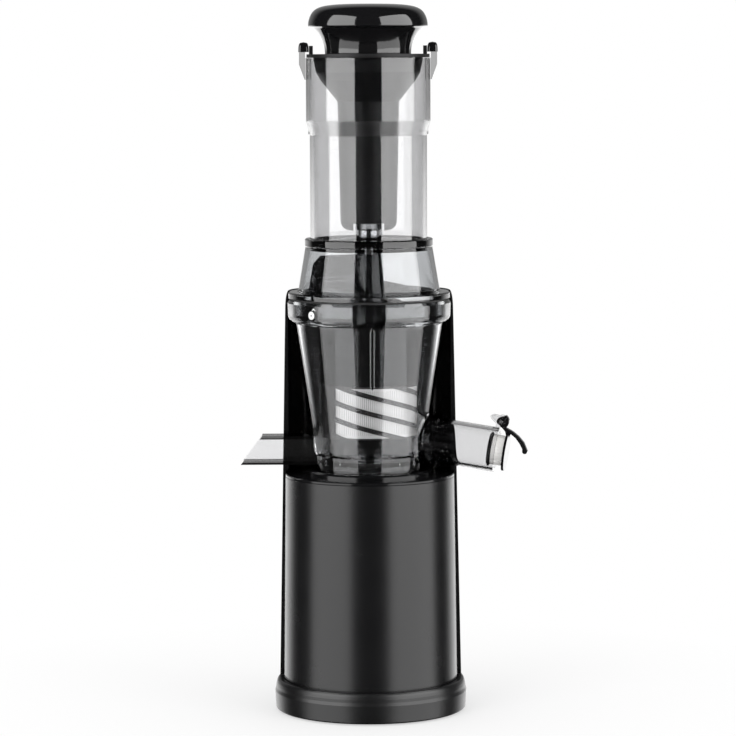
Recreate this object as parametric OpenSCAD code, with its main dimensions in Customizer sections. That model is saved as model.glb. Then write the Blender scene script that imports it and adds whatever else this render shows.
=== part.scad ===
// Cold press juicer: a slow auger squeezes fruit through a slotted strainer.
// Millimetres, +Z up, front towards -Y, origin on the floor under the drive axis.

/* [Base] */
// Height of a rubber foot
foot_h = 3; // [2:0.5:4]
// Radius of a rubber foot
foot_r = 7; // [5:0.5:8]
// Thickness of the bottom plate
plate_t = 2.4; // [1.8:0.1:2.6]
// Gap between the base ring and the floor
base_gap = 0.8; // [0.4:0.1:1.6]
// Height of the base ring
base_h = 18; // [17:0.5:20]
// Height of the sharp edge round the base ring
base_edge_z = 11; // [9.5:0.5:13]
// How far the base ring stands out from the drum
base_flare = 5.1; // [4.4:0.1:7]

/* [Drum] */
// Height of the drum's rim
drum_top_z = 133.8; // [124:0.2:144]
// How much the drum narrows from its foot to its rim
drum_taper = 1.6; // [0.5:0.1:3]
// Wall of the drum
drum_wall = 2.2; // [1.6:0.1:2.6]

/* [Rear shell] */
// Wall of the rear shell beside the drum
shell_wall = 2.4; // [2:0.1:3]
// Wall of the rear shell at the top of the column
column_wall = 1.25; // [1:0.05:2]
// Gap between the bowl's collar and the column
bay_gap = 0.4; // [0.3:0.05:1]
// How far the column stands above the collar's rim
column_rise = 4.8; // [0:0.2:8]
// Where the front edges of the shell stand
shell_front_y = 6; // [5:0.5:12]
// Rounding of the column's top corners
shell_corner_r = 10; // [3:0.5:18]

/* [Deck] */
// Thickness of the deck at its edge
deck_t = 1.4; // [1.2:0.1:2]
// Wall of the ring that the bowl's foot sits in
seat_wall = 3.4; // [2:0.1:5]
// Height of the seat ring above the deck
seat_h = 2.4; // [2:0.1:4.6]

/* [Bowl] */
// Height from the bowl's foot to its collar
bowl_h = 86; // [78:0.5:95]
// Height from the bowl's foot to its floor
bowl_foot_h = 6; // [5:0.1:7]
// How much the bowl widens from its foot to its collar
bowl_flare = 8.7; // [6:0.1:11]
// Wall of the bowl
bowl_wall = 2.5; // [2.2:0.1:2.8]
// Height of the collar
collar_h = 12.6; // [11:0.1:16]
// How far the collar stands out from the bowl
collar_over = 4.2; // [3.6:0.1:5]

/* [Pulp chute] */
// Reach of the chute's bottom lip from the axis
chute_reach = 73; // [60:1:90]
// How far the top edge of the chute's mouth leans back
chute_slant = 12; // [5:0.5:16]
// Outer height of the chute
chute_h = 16.1; // [13:0.1:18]
// Outer depth of the chute
chute_d = 14.5; // [12:0.5:18]
// Wall of the chute
chute_wall = 1.9; // [1.2:0.1:2.4]

/* [Juice spout] */
// Outer radius of the spout
spout_r = 12.75; // [11:0.05:14]
// Wall of the spout
spout_wall = 2.25; // [1.8:0.05:2.6]
// Length of the spout from the bowl to its mouth
spout_l = 38.8; // [34:0.2:50]
// Turn of the spout towards the front, in degrees
spout_yaw = 10; // [8:1:20]
// Downward tilt of the spout, in degrees
spout_tilt = 8.5; // [6:0.5:12]

/* [Strainer] */
// Outer radius of the strainer
strainer_r = 28; // [25:0.05:31]
// Radial thickness of the strainer's plastic frame
strainer_wall = 1.9; // [1.7:0.05:2.1]
// Height of the slotted steel sleeve
mesh_h = 28; // [24:1:32]
// Number of slots in the steel sleeve
mesh_slots = 60; // [30:1:80]
// Number of helical ribs over the steel sleeve
rib_count = 5; // [3:1:6]
// Rise of a rib in one turn
rib_lead = 47.5; // [40:0.5:60]
// Height of a rib, measured straight up
rib_h = 2.7; // [2:0.1:4.5]
// Turn of the ribs round the strainer, in degrees
rib_turn = 10; // [0:1:72]
// Radial gap between the strainer and the foot of the bowl's wall
juice_gap = 2.8; // [2.4:0.1:4]

/* [Auger] */
// Gap between the flights and the strainer
auger_gap = 0.6; // [0.4:0.05:1]
// Rise of a flight in one turn
auger_lead = 58; // [48:1:66]
// Thickness of a flight, measured straight up
flight_t = 3.6; // [2.5:0.1:5]
// Core radius at the bottom of the auger
core_low_r = 18; // [15:0.1:19.8]
// Core radius at the top of the auger
core_high_r = 6.8; // [6.1:0.1:9]
// Gap between the auger's wing and the lid
wing_gap = 3.5; // [2:0.1:6]

/* [Lid and hopper] */
// Thickness of the lid's flange
lid_flange_t = 3.4; // [2.6:0.1:4]
// Height from the bowl's rim to the lid's neck
lid_h = 34.6; // [30:0.2:40]
// Wall of the lid
lid_wall = 2.4; // [2:0.1:2.7]
// Outer radius of the hopper
hopper_r = 33; // [29:0.1:36.5]
// How much the hopper widens towards its mouth
hopper_flare = 2; // [1:0.1:4]
// Height of the hopper's mouth above the lid's neck
hopper_h = 101.2; // [90:0.2:115]
// Wall of the hopper
hopper_wall = 2.2; // [1.6:0.1:2.5]

/* [Pusher] */
// Height of the pusher's knob
knob_h = 28; // [25:0.5:32]
// Widest radius of the pusher's knob
knob_r = 33.6; // [30:0.1:38]
// Radius of the pusher's shaft at its foot
pusher_low_r = 15.9; // [14:0.1:17.5]
// Radius of the pusher's shaft under its bell
pusher_high_r = 17.3; // [15.5:0.1:19]
// Wall of the pusher's hollow shaft
pusher_wall = 2.6; // [2:0.1:4]

/* [Drive] */
// Radius of the motor's can
motor_r = 30; // [27:0.5:33]
// Radius of the motor's shaft
motor_shaft_r = 2.5; // [2.2:0.1:2.8]
// Gear module
gear_m = 0.75; // [0.67:0.01:0.83]
// Radius of the output shaft
output_r = 6; // [5.4:0.1:6.6]

/* [Controls] */
// Distance from the drum's rim down to the middle of the switch
switch_drop = 32; // [28:0.5:36]
// Height of the cord gland above the base ring
gland_rise = 10; // [9:0.5:16]
// Bore radius of the cord gland
gland_bore_r = 3.6; // [3:0.1:4]

/* [Clearances] */
// Gap between shells that slide past each other
shell_gap = 0.3; // [0.2:0.05:0.35]
// Gap under a piece that stands on another and lifts off
seat_gap = 0.2; // [0.1:0.05:0.4]
// Radial running clearance of a shaft in its bore
run_gap = 0.06; // [0.03:0.01:0.09]
// Gap round a piece that is fixed in a socket
fit_gap = 0.1; // [0.05:0.01:0.15]

/* [Hidden] */
$fn = 96;
eps = 0.01;
big = 200;

charcoal = [0.16, 0.16, 0.17];
gloss_black = [0.03, 0.03, 0.035];
smoke = [0.45, 0.46, 0.47, 0.45];
clear = [0.82, 0.84, 0.86, 0.35];
steel = [0.72, 0.72, 0.73];
rubber = [0.07, 0.07, 0.07];
copper = [0.72, 0.42, 0.22];
nylon = [0.86, 0.84, 0.78];
board_green = [0.08, 0.32, 0.16];

// Heights, from the floor up
plate_z = foot_h;
base_z = base_gap;
lug_z = plate_z + plate_t + 0.2;
lug_t = 2.8;
drum_z = lug_z + lug_t + 0.2;
shell_z = base_h + seat_gap;
deck_z = drum_top_z - 1;
deck_top = drum_top_z + deck_t;
seat_top = deck_top + seat_h;
bowl_z = deck_top + seat_gap;
bowl_floor_z = bowl_z + bowl_foot_h;
bowl_floor_top = bowl_floor_z + 2.6;
strainer_z = bowl_floor_top + 5.2;
bowl_low_z = strainer_z + 4.6;
sill_z = strainer_z + 5.6;
mesh_z = sill_z + 3;
mesh_top = mesh_z + mesh_h;
collar_z = bowl_z + bowl_h;
strainer_top = collar_z - 0.2;
collar_ledge_z = collar_z + 3.8;
rim_z = collar_z + collar_h;
lid_z = rim_z + 1.1;
lid_top = lid_z + lid_flange_t;
shell_top_z = rim_z + column_rise;
neck_z = rim_z + lid_h;
socket_z = neck_z - 3.4;
bar_z = neck_z - 7.4;
auger_top = bar_z - 0.9;
pin_top = auger_top + 13.5;
hub_top = pin_top + 3;
hopper_z = socket_z + seat_gap;
mouth_z = neck_z + hopper_h;
flare_z = mouth_z - 43.3;
flare_top_z = mouth_z - 35.3;
flange_low_z = mouth_z + seat_gap;
flange_top_z = flange_low_z + 2;
pusher_z = hub_top - 3.6;
top_z = flange_top_z + knob_h;

// Radii, from the strainer out
frame_in_r = strainer_r - strainer_wall;
mesh_r = frame_in_r + 0.7;
mesh_in_r = frame_in_r + 0.1;
auger_r = frame_in_r - auger_gap;
ring_in_r = strainer_r - 6;
flange_r = ring_in_r - 0.7;
bowl_in_r = strainer_r + juice_gap;
bowl_floor_r = bowl_in_r - 0.6;
bowl_low_r = bowl_in_r + bowl_wall;
bowl_foot_r = bowl_low_r - 2.7;
bowl_high_r = bowl_low_r + bowl_flare;
collar_r = bowl_high_r + collar_over;
groove_r = collar_r - 2.6;
tab_r = groove_r - 1.7;
skirt_r = tab_r - 0.4;
skirt_z = collar_ledge_z + 0.8;
lid_r = collar_r - 0.5;
cone_low_r = skirt_r - 1.6;
cone_high_r = hopper_r + 2.9;
mouth_r = hopper_r + hopper_flare;
bell_r = mouth_r - hopper_wall - 2.1;
seat_in_r = bowl_foot_r + 1.2;
seat_r = seat_in_r + seat_wall;
shell_hollow_r = collar_r + bay_gap;
shell_top_r = shell_hollow_r + column_wall;
drum_rim_r = shell_hollow_r + 1.3;
drum_foot_r = drum_rim_r + drum_taper;
shell_foot_r = drum_foot_r + shell_gap + shell_wall;
base_r = drum_foot_r + base_flare;
plate_r = drum_foot_r + 1.3;

// Screws and the rings they stand on
screw_r = 1.25;
screw_hole_r = 1.6;
screw_head_r = 2.7;
screw_head_h = 1.6;
lug_ring_r = drum_foot_r - 8.2;
foot_ring_r = plate_r - 12;
base_lug_angles = [20, 160, 200, 340];
deck_lug_angles = [45, 135, 225, 315];
drum_boss_h = 16;
deck_lug_z = drum_top_z - 12;
deck_lug_t = 4;
box_lug_ring_r = motor_r + 1.5;
box_lug_angles = [70, 130, 230, 290];

// Bayonet, foot keys and drive hub
tab_z = rim_z - 2.6;
tab_angles = [30, 150, 270];
tab_sweep = 24;
lug_sweep = 20;
key_angles = [60, 120];
pin_r = 5.3;
hub_r = pin_r + 2.4;
socket_r = output_r + 1.8;
spigot_r = socket_r + 1.2;
hub_bore_r = spigot_r + 0.3;
hub_tube_r = hub_bore_r + 2;
seal_seat_r = spigot_r + 2;
seal_r = output_r + 3;
deck_hub_r = seal_r + 3;
hex_z = deck_top + 1.1;
hex_top = strainer_z + 4.6;
flange_z = strainer_z + 2.8;
core_z0 = flange_z + 3.3;
magnet_r = 1.5;
magnet_y = groove_r - 1;

// Gearbox: two axes, four meshes
gear_w = 5;
pinion_w = 7.4;
pinion_a = 12;
wheel_a = 42;
pinion_b = 14;
wheel_b = 40;
tooth_tip = 0.75 * gear_m;
tooth_root = 1.06 * gear_m;
backlash = 0.12;
axis_gap = gear_m * (pinion_a + wheel_a) / 2;
case_floor = 3;
case_wall = 2;
case_h = 38;
cover_t = 3;
box_top = deck_z - 16;
case_top = box_top - cover_t;
case_z = case_top - case_h;
case_r = gear_m * wheel_a / 2 + tooth_tip + 1 + case_wall;
motor_screw_ring_r = case_r - case_wall - 3.1;
mesh_1_z = case_z + 6;
mesh_2_z = mesh_1_z + 6.5;
mesh_3_z = mesh_2_z + 6.5;
mesh_4_z = mesh_3_z + 6.8;
bearing_out_r = output_r + 7;
bearing_z = case_top - 3;
bearing_out_w = 7;

// Motor, from the fan up
fan_z = plate_z + plate_t + 4.2;
bell_z = fan_z + 6.4;
can_z = bell_z + 6;
can_top = case_z;
can_wall = 2;
bearing_r = 8;
bearing_w = 5;
core_r = motor_r - 7.5;
core_z = can_z + 15;
core_h = can_top - core_z - 11;
slot_count = 9;
slot_r = 3;
slot_ring_r = core_r - 6.5;
commutator_r = 8;
commutator_z = can_z + 4;

// Switch, board and cord gland
switch_z = drum_top_z - switch_drop;
switch_face_y = shell_foot_r + 0.2;
rocker_pivot_y = switch_face_y - 5.1;
rocker_pin_r = 1.5;
board_y = drum_rim_r - drum_wall - 5.3;
board_z = case_top - 28;
post_x = 16;
post_z = [board_z + 4, board_z + 22];
gland_z = base_h + gland_rise;
gland_r = gland_bore_r + 2.4;
louvre_z = gland_z + 14;

// The cover inside the column that holds the interlock sensor
spine_y = shell_hollow_r - 3.6;
spine_w = 24;
spine_z = deck_top + shell_gap + 0.2;
spine_top = collar_z - 1.6;
column_screw_z = [spine_z + 14, spine_z + 54];

// Ears of the hopper
ear_x = mouth_r + 3.7;
ear_w = 8;

// Spout and drip cap
spout_ring_r = bowl_low_r + 1.2;
spout_z = bowl_low_z + 1.3;
bore_r = spout_r - spout_wall;
pivot_out = 0.3;
pivot_up = spout_r + 3.75;
cap_pin_r = 1.1;
ear_gap = 3.8;
plug_r = bore_r - 1.9;
cap_z = 4.4;

// Radius of the drum's outside at a height
function drum_at(z) = drum_foot_r + (drum_rim_r - drum_foot_r) * (z - drum_z) / (drum_top_z - drum_z);
// Radius of the rear shell's outside at a height
function shell_at(z) = shell_foot_r + (shell_top_r - shell_foot_r) * (z - shell_z) / (shell_top_z - shell_z);
// Radius of the bowl's outside at a height, above its rounded bottom
function bowl_at(z) = bowl_low_r + bowl_flare * (z - bowl_low_z) / (collar_z - 0.6 - bowl_low_z);
// Radius of the lid cone's outside at a height
function cone_at(z) = cone_low_r
    + (cone_high_r - cone_low_r) * (z - lid_top - 1.7) / (neck_z - 4.6 - lid_top - 1.7);
// Reach of the auger's wing at a height
function wing_at(z) = cone_at(z) - lid_wall - wing_gap;
// Points on an arc round (x, y)
function arc(x, y, r, from, to, n) =
    [for (i = [0:n]) [x + r * cos(from + (to - from) * i / n), y + r * sin(from + (to - from) * i / n)]];

// A ring between two heights
module tube(r_out, r_in, z0, z1) {
    rotate_extrude() polygon([[r_in, z0], [r_out, z0], [r_out, z1], [r_in, z1]]);
}

// A disc between two heights
module disc(r, z0, z1) {
    translate([0, 0, z0]) cylinder(r = r, h = z1 - z0);
}

// Copies of a child on a ring, turned to face outwards
module on_ring(r, angles) {
    for (a = angles) rotate(a) translate([r, 0, 0]) children();
}

// A pan-head screw whose head is below and whose shank points up
module screw(l, r = screw_r, head = screw_head_r) {
    difference() {
        union() {
            translate([0, 0, -screw_head_h]) cylinder(r = head, h = screw_head_h);
            translate([0, 0, -eps]) cylinder(r = r, h = l);
        }
        for (a = [0, 90]) rotate(a) translate([-head * 0.6, -0.35, -screw_head_h - eps])
            cube([head * 1.2, 0.7, 0.8]);
    }
}

// ---------- housing ----------

module base_ring() {
    drum_seat_r = drum_foot_r + shell_gap;
    lip_r = plate_r - 4.6;
    round_r = 1.2;
    profile = concat(
        arc(base_r - 0.4 - round_r, base_z + round_r, round_r, -90, 0, 5),
        [[base_r, base_edge_z]],
        [for (t = [15:15:90]) [
            shell_foot_r + (base_r - 0.4 - shell_foot_r) * cos(t),
            base_edge_z + (base_h - base_edge_z) * sin(t)]],
        [[drum_seat_r, base_h], [drum_seat_r, lug_z + lug_t], [lip_r, lug_z + lug_t],
         [lip_r, lug_z], [plate_r + 0.2, lug_z], [plate_r + 0.2, base_z]]);
    color(charcoal) difference() {
        union() {
            rotate_extrude() polygon(profile);
            on_ring(lug_ring_r, base_lug_angles) {
                translate([0, 0, lug_z]) cylinder(r = 5, h = lug_t);
                translate([0, -5, lug_z]) cube([6, 10, lug_t]);
            }
        }
        on_ring(lug_ring_r, base_lug_angles) disc(screw_hole_r, 0, 20);
    }
}

module bottom_plate() {
    slot_w = 3;
    color(charcoal) difference() {
        disc(plate_r, plate_z, plate_z + plate_t);
        on_ring(lug_ring_r, base_lug_angles) disc(screw_hole_r, 0, 20);
        on_ring(foot_ring_r, deck_lug_angles) disc(2.5, 0, 20);
        for (a = [0:30:330]) rotate(a) translate([11, -slot_w / 2, 0]) cube([13, slot_w, 20]);
    }
}

module rubber_feet() {
    barb = 0.7;
    color(rubber) on_ring(foot_ring_r, deck_lug_angles) {
        rotate_extrude() polygon([
            [0, 0], [foot_r - 0.8, 0], [foot_r, 0.8], [foot_r, plate_z], [2.5, plate_z],
            [2.5, plate_z + plate_t], [2.5 + barb, plate_z + plate_t], [1.8, plate_z + plate_t + 2],
            [0, plate_z + plate_t + 2]]);
    }
}

module base_screws() {
    color(steel) on_ring(lug_ring_r, base_lug_angles)
        translate([0, 0, plate_z]) screw(drum_z - plate_z + 11);
}

// The rounded windows that both shells share, at the back
module rear_windows(extra = 0) {
    translate([-10.6 - extra, 30, switch_z - 16.2 - extra]) cube([21.2 + 2 * extra, 40, 32.4 + 2 * extra]);
    translate([0, 30, gland_z]) rotate([-90, 0, 0]) cylinder(r = gland_r + 0.1 + extra, h = 40);
    for (a = [54:9:126]) rotate(a) translate([motor_r + 5, -1.3, louvre_z]) cube([30, 2.6, 26]);
}

module drum_shell() {
    post_y = board_y + 0.1;
    color(charcoal) difference() {
        union() {
            rotate_extrude() polygon([
                [drum_foot_r - drum_wall, drum_z], [drum_foot_r, drum_z],
                [drum_rim_r, drum_top_z - 0.4], [drum_rim_r - 0.4, drum_top_z],
                [drum_rim_r - drum_wall, drum_top_z]]);
            on_ring(lug_ring_r, base_lug_angles) {
                disc(4, drum_z, drum_z + drum_boss_h);
                translate([0, -1.2, drum_z]) cube([drum_foot_r - 1.4 - lug_ring_r, 2.4, drum_boss_h]);
            }
            on_ring(lug_ring_r, deck_lug_angles) {
                disc(4, deck_lug_z, deck_lug_z + deck_lug_t);
                translate([0, -4, deck_lug_z]) cube([drum_rim_r - 1.4 - lug_ring_r, 8, deck_lug_t]);
            }
            for (x = [-post_x, post_x], z = post_z) translate([x, -post_y, z]) rotate([90, 0, 0])
                cylinder(r = 2.8, h = 3.8);
        }
        on_ring(lug_ring_r, base_lug_angles) disc(screw_r + 0.05, drum_z - 1, drum_z + 13);
        on_ring(lug_ring_r, deck_lug_angles) disc(screw_hole_r, deck_lug_z - 1, deck_lug_z + 9);
        for (x = [-post_x, post_x], z = post_z) translate([x, -post_y + 1, z]) rotate([90, 0, 0])
            cylinder(r = 0.95, h = 4);
        rear_windows(0.4);
    }
}

module rear_shell() {
    step_z = deck_top + shell_gap;
    edge = 0.6;
    color(gloss_black) difference() {
        rotate_extrude() polygon([
            [drum_at(shell_z) + shell_gap, shell_z], [shell_at(shell_z), shell_z],
            [shell_at(shell_top_z - edge), shell_top_z - edge], [shell_top_r - edge, shell_top_z],
            [shell_hollow_r, shell_top_z], [shell_hollow_r, step_z],
            [drum_rim_r + shell_gap, step_z], [drum_rim_r + shell_gap, drum_top_z]]);
        translate([-big / 2, shell_front_y - big, 0]) cube([big, big, 2 * big]);
        difference() {
            translate([-big / 2, shell_front_y - 1, shell_top_z - shell_corner_r])
                cube([big, shell_corner_r + 1, shell_corner_r + 1]);
            translate([-big / 2 - 1, shell_front_y + shell_corner_r, shell_top_z - shell_corner_r])
                rotate([0, 90, 0]) cylinder(r = shell_corner_r, h = big + 2);
        }
        rear_windows();
        for (z = column_screw_z) translate([0, spine_y, z]) rotate([-90, 0, 0])
            cylinder(r = 1.15, h = 5.2);
    }
}

module deck() {
    spigot = drum_rim_r - drum_wall - 0.2;
    color(gloss_black) difference() {
        union() {
            rotate_extrude() polygon([
                [seal_r + 0.05, deck_z - 3.5], [deck_hub_r, deck_z - 3.5], [deck_hub_r, deck_z],
                [spigot, deck_z],
                [spigot, drum_top_z], [drum_rim_r, drum_top_z], [drum_rim_r, deck_top - 0.4],
                [drum_rim_r - 0.4, deck_top], [seat_r, deck_top], [seat_r, seat_top - 1],
                [seat_r - 1, seat_top], [seat_in_r, seat_top], [seat_in_r, deck_top],
                [deck_hub_r + 0.5, deck_top], [deck_hub_r, deck_top + 0.8], [seal_r + 0.05, deck_top + 0.8]]);
            on_ring(lug_ring_r, deck_lug_angles) disc(3.5, deck_lug_z + deck_lug_t, deck_z + eps);
            on_ring(box_lug_ring_r, box_lug_angles) disc(4, box_top, deck_z + eps);
        }
        on_ring(lug_ring_r, deck_lug_angles) disc(screw_r + 0.05, deck_lug_z, deck_z);
        on_ring(box_lug_ring_r, box_lug_angles) disc(screw_r + 0.05, box_top - 1, deck_z - 2);
        for (a = key_angles) rotate(a) translate([seat_in_r - 1, -2.8, deck_top])
            cube([3.1, 5.6, seat_h + 1]);
    }
}

module deck_screws() {
    color(steel) on_ring(lug_ring_r, deck_lug_angles)
        translate([0, 0, deck_lug_z]) screw(deck_z - deck_lug_z - 2);
}

module column_spine() {
    color(gloss_black) difference() {
        intersection() {
            translate([-spine_w / 2, spine_y, spine_z]) cube([spine_w, 6, spine_top - spine_z]);
            disc(shell_hollow_r - 0.05, 0, big * 2);
        }
        translate([-spine_w / 2 + 1.4, spine_y + 1.2, spine_z + 1.4])
            cube([spine_w - 2.8, 6, spine_top - spine_z - 2.8]);
        for (z = column_screw_z) translate([0, spine_y - 1, z]) rotate([-90, 0, 0])
            cylinder(r = screw_hole_r, h = 5);
    }
}

module column_screws() {
    color(steel) for (z = column_screw_z) translate([0, spine_y, z]) rotate([-90, 0, 0])
        screw(5, 1.1, 2.3);
}

module sensor_board() {
    color(board_green) {
        translate([-8, spine_y + 1.5, spine_top - 22]) cube([16, 1.2, 20]);
        translate([-2, spine_y + 2.6, spine_top - 7]) cube([4, 0.8, 3]);
    }
}

module cord_gland() {
    out_y = shell_foot_r + 2.6;
    color(rubber) translate([0, 0, gland_z]) rotate([-90, 0, 0]) difference() {
        union() {
            translate([0, 0, out_y - 14]) cylinder(r = gland_r, h = 14);
            translate([0, 0, out_y - 2.6]) cylinder(r1 = gland_r + 2.5, r2 = gland_r + 1.4, h = 2.6);
            translate([0, 0, out_y - 13]) cylinder(r = gland_r + 2, h = 4);
        }
        translate([0, 0, out_y - 15]) cylinder(r = gland_bore_r, h = 16);
    }
}

// ---------- switch and board ----------

module switch_housing() {
    box_y = switch_face_y - 13.1;
    bezel_y = switch_face_y - 7.6;
    color(gloss_black) difference() {
        union() {
            translate([-10.2, box_y, switch_z - 15.8]) cube([20.4, 12.1, 31.6]);
            difference() {
                translate([-12.5, bezel_y, switch_z - 18]) cube([25, 7.6, 36]);
                translate([0, 0, switch_z - 20]) cylinder(
                    r1 = shell_at(switch_z - 20) + 0.05, r2 = shell_at(switch_z + 20) + 0.05, h = 40);
            }
            for (z = [-8, 0, 8]) translate([-3, box_y - 2, switch_z + z - 0.4]) cube([6, 2 + eps, 0.8]);
        }
        translate([-8.6, box_y + 3, switch_z - 14.2]) cube([17.2, 20, 28.4]);
        translate([-20, rocker_pivot_y, switch_z]) rotate([0, 90, 0])
            cylinder(r = rocker_pin_r + run_gap, h = 40);
    }
}

module switch_rocker() {
    half = 12.6;
    color(gloss_black) {
        translate([8.3, rocker_pivot_y, switch_z]) rotate([0, -90, 0]) linear_extrude(16.6)
            polygon([[-half, 6.2], [0, 4], [half, 6.2], [half - 0.4, 0.6], [4, -2.4], [-4, -2.4],
                     [0.4 - half, 0.6]]);
        translate([-10, rocker_pivot_y, switch_z]) rotate([0, 90, 0]) cylinder(r = rocker_pin_r, h = 20);
    }
}

module control_board() {
    color(board_green) difference() {
        union() {
            translate([-post_x - 4, -board_y, board_z]) cube([2 * post_x + 8, 1.6, 26]);
            for (x = [-9, 3]) translate([x, 1.5 - board_y, board_z + 13]) rotate([-90, 0, 0])
                cylinder(r = 4, h = 4.6);
            translate([-6, 1.5 - board_y, board_z + 2]) cube([14, 4, 6]);
        }
        for (x = [-post_x, post_x], z = post_z) translate([x, 4 - board_y, z]) rotate([90, 0, 0])
            cylinder(r = 1.4, h = 6);
    }
}

module board_screws() {
    color(steel) for (x = [-post_x, post_x], z = post_z) translate([x, 1.6 - board_y, z])
        rotate([90, 0, 0]) screw(4.6, 0.9, 1.9);
}

// ---------- motor ----------

module motor_can() {
    color(steel) difference() {
        union() {
            tube(motor_r, motor_r - can_wall, can_z, can_top);
            disc(motor_r - 1, can_top - 2, can_top);
            disc(bearing_r + 2.4, can_top - 7.5, can_top - 1);
        }
        disc(bearing_r + 0.05, can_top - 8, can_top - 2.2);
        disc(motor_shaft_r + 1.5, can_top - 3, can_top + 1);
        on_ring(motor_screw_ring_r, deck_lug_angles) disc(1.5, can_top - 3, can_top + 1);
    }
}

module motor_end_bell() {
    color(steel) difference() {
        union() {
            disc(motor_r, bell_z, can_z);
            disc(motor_r - can_wall - fit_gap, can_z - eps, can_z + 2);
        }
        disc(bearing_r + 0.05, bell_z + 1.8, can_z + 3);
        disc(motor_shaft_r + 1.5, bell_z - 1, bell_z + 2);
        on_ring(motor_r - 11, [0:60:300]) disc(4, bell_z - 1, can_z + 3);
    }
}

module motor_bearings() {
    color(steel) for (z = [bell_z + 2, can_top - 2.4 - bearing_w])
        tube(bearing_r, motor_shaft_r + run_gap, z, z + bearing_w);
}

module motor_magnets() {
    r_out = motor_r - can_wall - 0.05;
    color([0.25, 0.25, 0.27]) for (a = [0, 180]) rotate(a - 65)
        rotate_extrude(angle = 130) polygon([
            [r_out - 4.6, core_z - 3], [r_out, core_z - 3], [r_out, core_z + core_h + 3],
            [r_out - 4.6, core_z + core_h + 3]]);
}

module brush_card() {
    card_z = can_z + 2;
    color(nylon) difference() {
        union() {
            tube(motor_r - can_wall - 0.2, commutator_r + 4, card_z, card_z + 1.6);
            for (a = [0, 180]) rotate(a) translate([commutator_r + 2, -3.6, card_z]) cube([13, 7.2, 8.2]);
        }
        for (a = [0, 180]) rotate(a) translate([commutator_r + 1, -2.3, card_z + 2.8])
            cube([12.6, 4.6, 4.8]);
    }
}

module carbon_brushes() {
    color([0.12, 0.12, 0.12]) for (a = [0, 180]) rotate(a)
        translate([commutator_r + 0.1, -2.2, can_z + 4.9]) cube([8, 4.4, 4.6]);
}

module motor_screws() {
    color(steel) on_ring(motor_screw_ring_r, deck_lug_angles)
        translate([0, 0, case_z + case_floor]) mirror([0, 0, 1]) screw(6.5, 1.45, 2.5);
}

module motor_shaft() {
    color(steel) disc(motor_shaft_r, fan_z, mesh_1_z + gear_w + 0.6);
}

module armature_core() {
    color([0.45, 0.45, 0.47]) difference() {
        disc(core_r, core_z, core_z + core_h);
        disc(motor_shaft_r, core_z - 1, core_z + core_h + 1);
        for (i = [0:slot_count - 1]) rotate(i * 360 / slot_count) {
            translate([slot_ring_r, 0, 0]) disc(slot_r, core_z - 1, core_z + core_h + 1);
            translate([slot_ring_r, -1, core_z - 1]) cube([10, 2, core_h + 2]);
        }
    }
}

module armature_winding() {
    end_h = 3;
    color(copper) {
        for (i = [0:slot_count - 1]) rotate(i * 360 / slot_count) translate([slot_ring_r, 0, 0])
            disc(slot_r - 0.3, core_z - end_h / 2, core_z + core_h + end_h / 2);
        for (z = [core_z - end_h - 0.1, core_z + core_h + 0.1]) tube(slot_ring_r + slot_r, 8.4, z, z + end_h);
    }
}

module commutator() {
    color(copper) tube(commutator_r, motor_shaft_r, commutator_z, commutator_z + 7);
}

module cooling_fan() {
    color(nylon) difference() {
        union() {
            disc(motor_r - 7, fan_z, fan_z + 1.2);
            disc(6, fan_z, fan_z + 5);
            for (a = [0:36:324]) rotate(a) translate([8, -0.6, fan_z]) cube([motor_r - 16, 1.2, 5]);
        }
        disc(motor_shaft_r, fan_z - 1, fan_z + 6);
    }
}

// ---------- gears ----------

// Angle in degrees that an involute has unrolled at radius r from base radius rb
function involute_turn(r, rb) = r <= rb ? 0 : sqrt(r * r / (rb * rb) - 1) * 180 / PI - acos(rb / r);

// Outline of a spur gear with stub teeth, one tooth centred on +X
function gear_points(n, m) =
    let (
        pitch = m * n / 2,
        rb = pitch * cos(20),
        tip = pitch + tooth_tip,
        root = pitch - tooth_root,
        half = (PI * m / 2 - backlash) / (2 * pitch) * 180 / PI + involute_turn(pitch, rb),
        r1 = max(rb, root + 0.1),
        flank = [root, r1, (r1 + tip) / 2, tip]
    )
    [for (i = [0:n - 1]) each concat(
        [for (r = flank) let (a = i * 360 / n - half + involute_turn(r, rb)) [r * cos(a), r * sin(a)]],
        [for (j = [3:-1:0]) let (r = flank[j], a = i * 360 / n + half - involute_turn(r, rb))
            [r * cos(a), r * sin(a)]])];

module gear(n, z0, z1, turn = 0) {
    translate([0, 0, z0]) rotate(turn) linear_extrude(z1 - z0) polygon(gear_points(n, gear_m));
}

// A wheel with a smaller pinion on top, on a free-running bore
module double_gear(wheel, pinion, z) {
    difference() {
        union() {
            gear(wheel, z, z + gear_w, 180 / wheel);
            gear(pinion, z + gear_w - eps, z + gear_w + pinion_w);
        }
        disc(motor_shaft_r + run_gap, z - 1, z + 20);
    }
}

module motor_pinion() {
    color(steel) difference() {
        gear(pinion_a, mesh_1_z - 1, mesh_1_z + gear_w + 0.6);
        disc(motor_shaft_r, mesh_1_z - 2, mesh_1_z + gear_w + 1);
    }
}

module lay_gear_lower() {
    color(nylon) translate([axis_gap, 0, 0]) double_gear(wheel_a, pinion_b, mesh_1_z);
}

module centre_gear() {
    color(nylon) double_gear(wheel_b, pinion_a, mesh_2_z);
}

module lay_gear_upper() {
    color(nylon) translate([axis_gap, 0, 0]) double_gear(wheel_a, pinion_b, mesh_3_z);
}

module output_gear() {
    color(steel) difference() {
        union() {
            gear(wheel_b, mesh_4_z, mesh_4_z + gear_w - 0.2, 180 / wheel_b);
            disc(output_r + 3, mesh_4_z + gear_w - 0.3, bearing_z - 0.6);
        }
        disc(output_r, mesh_4_z - 1, bearing_z);
    }
}

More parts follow.
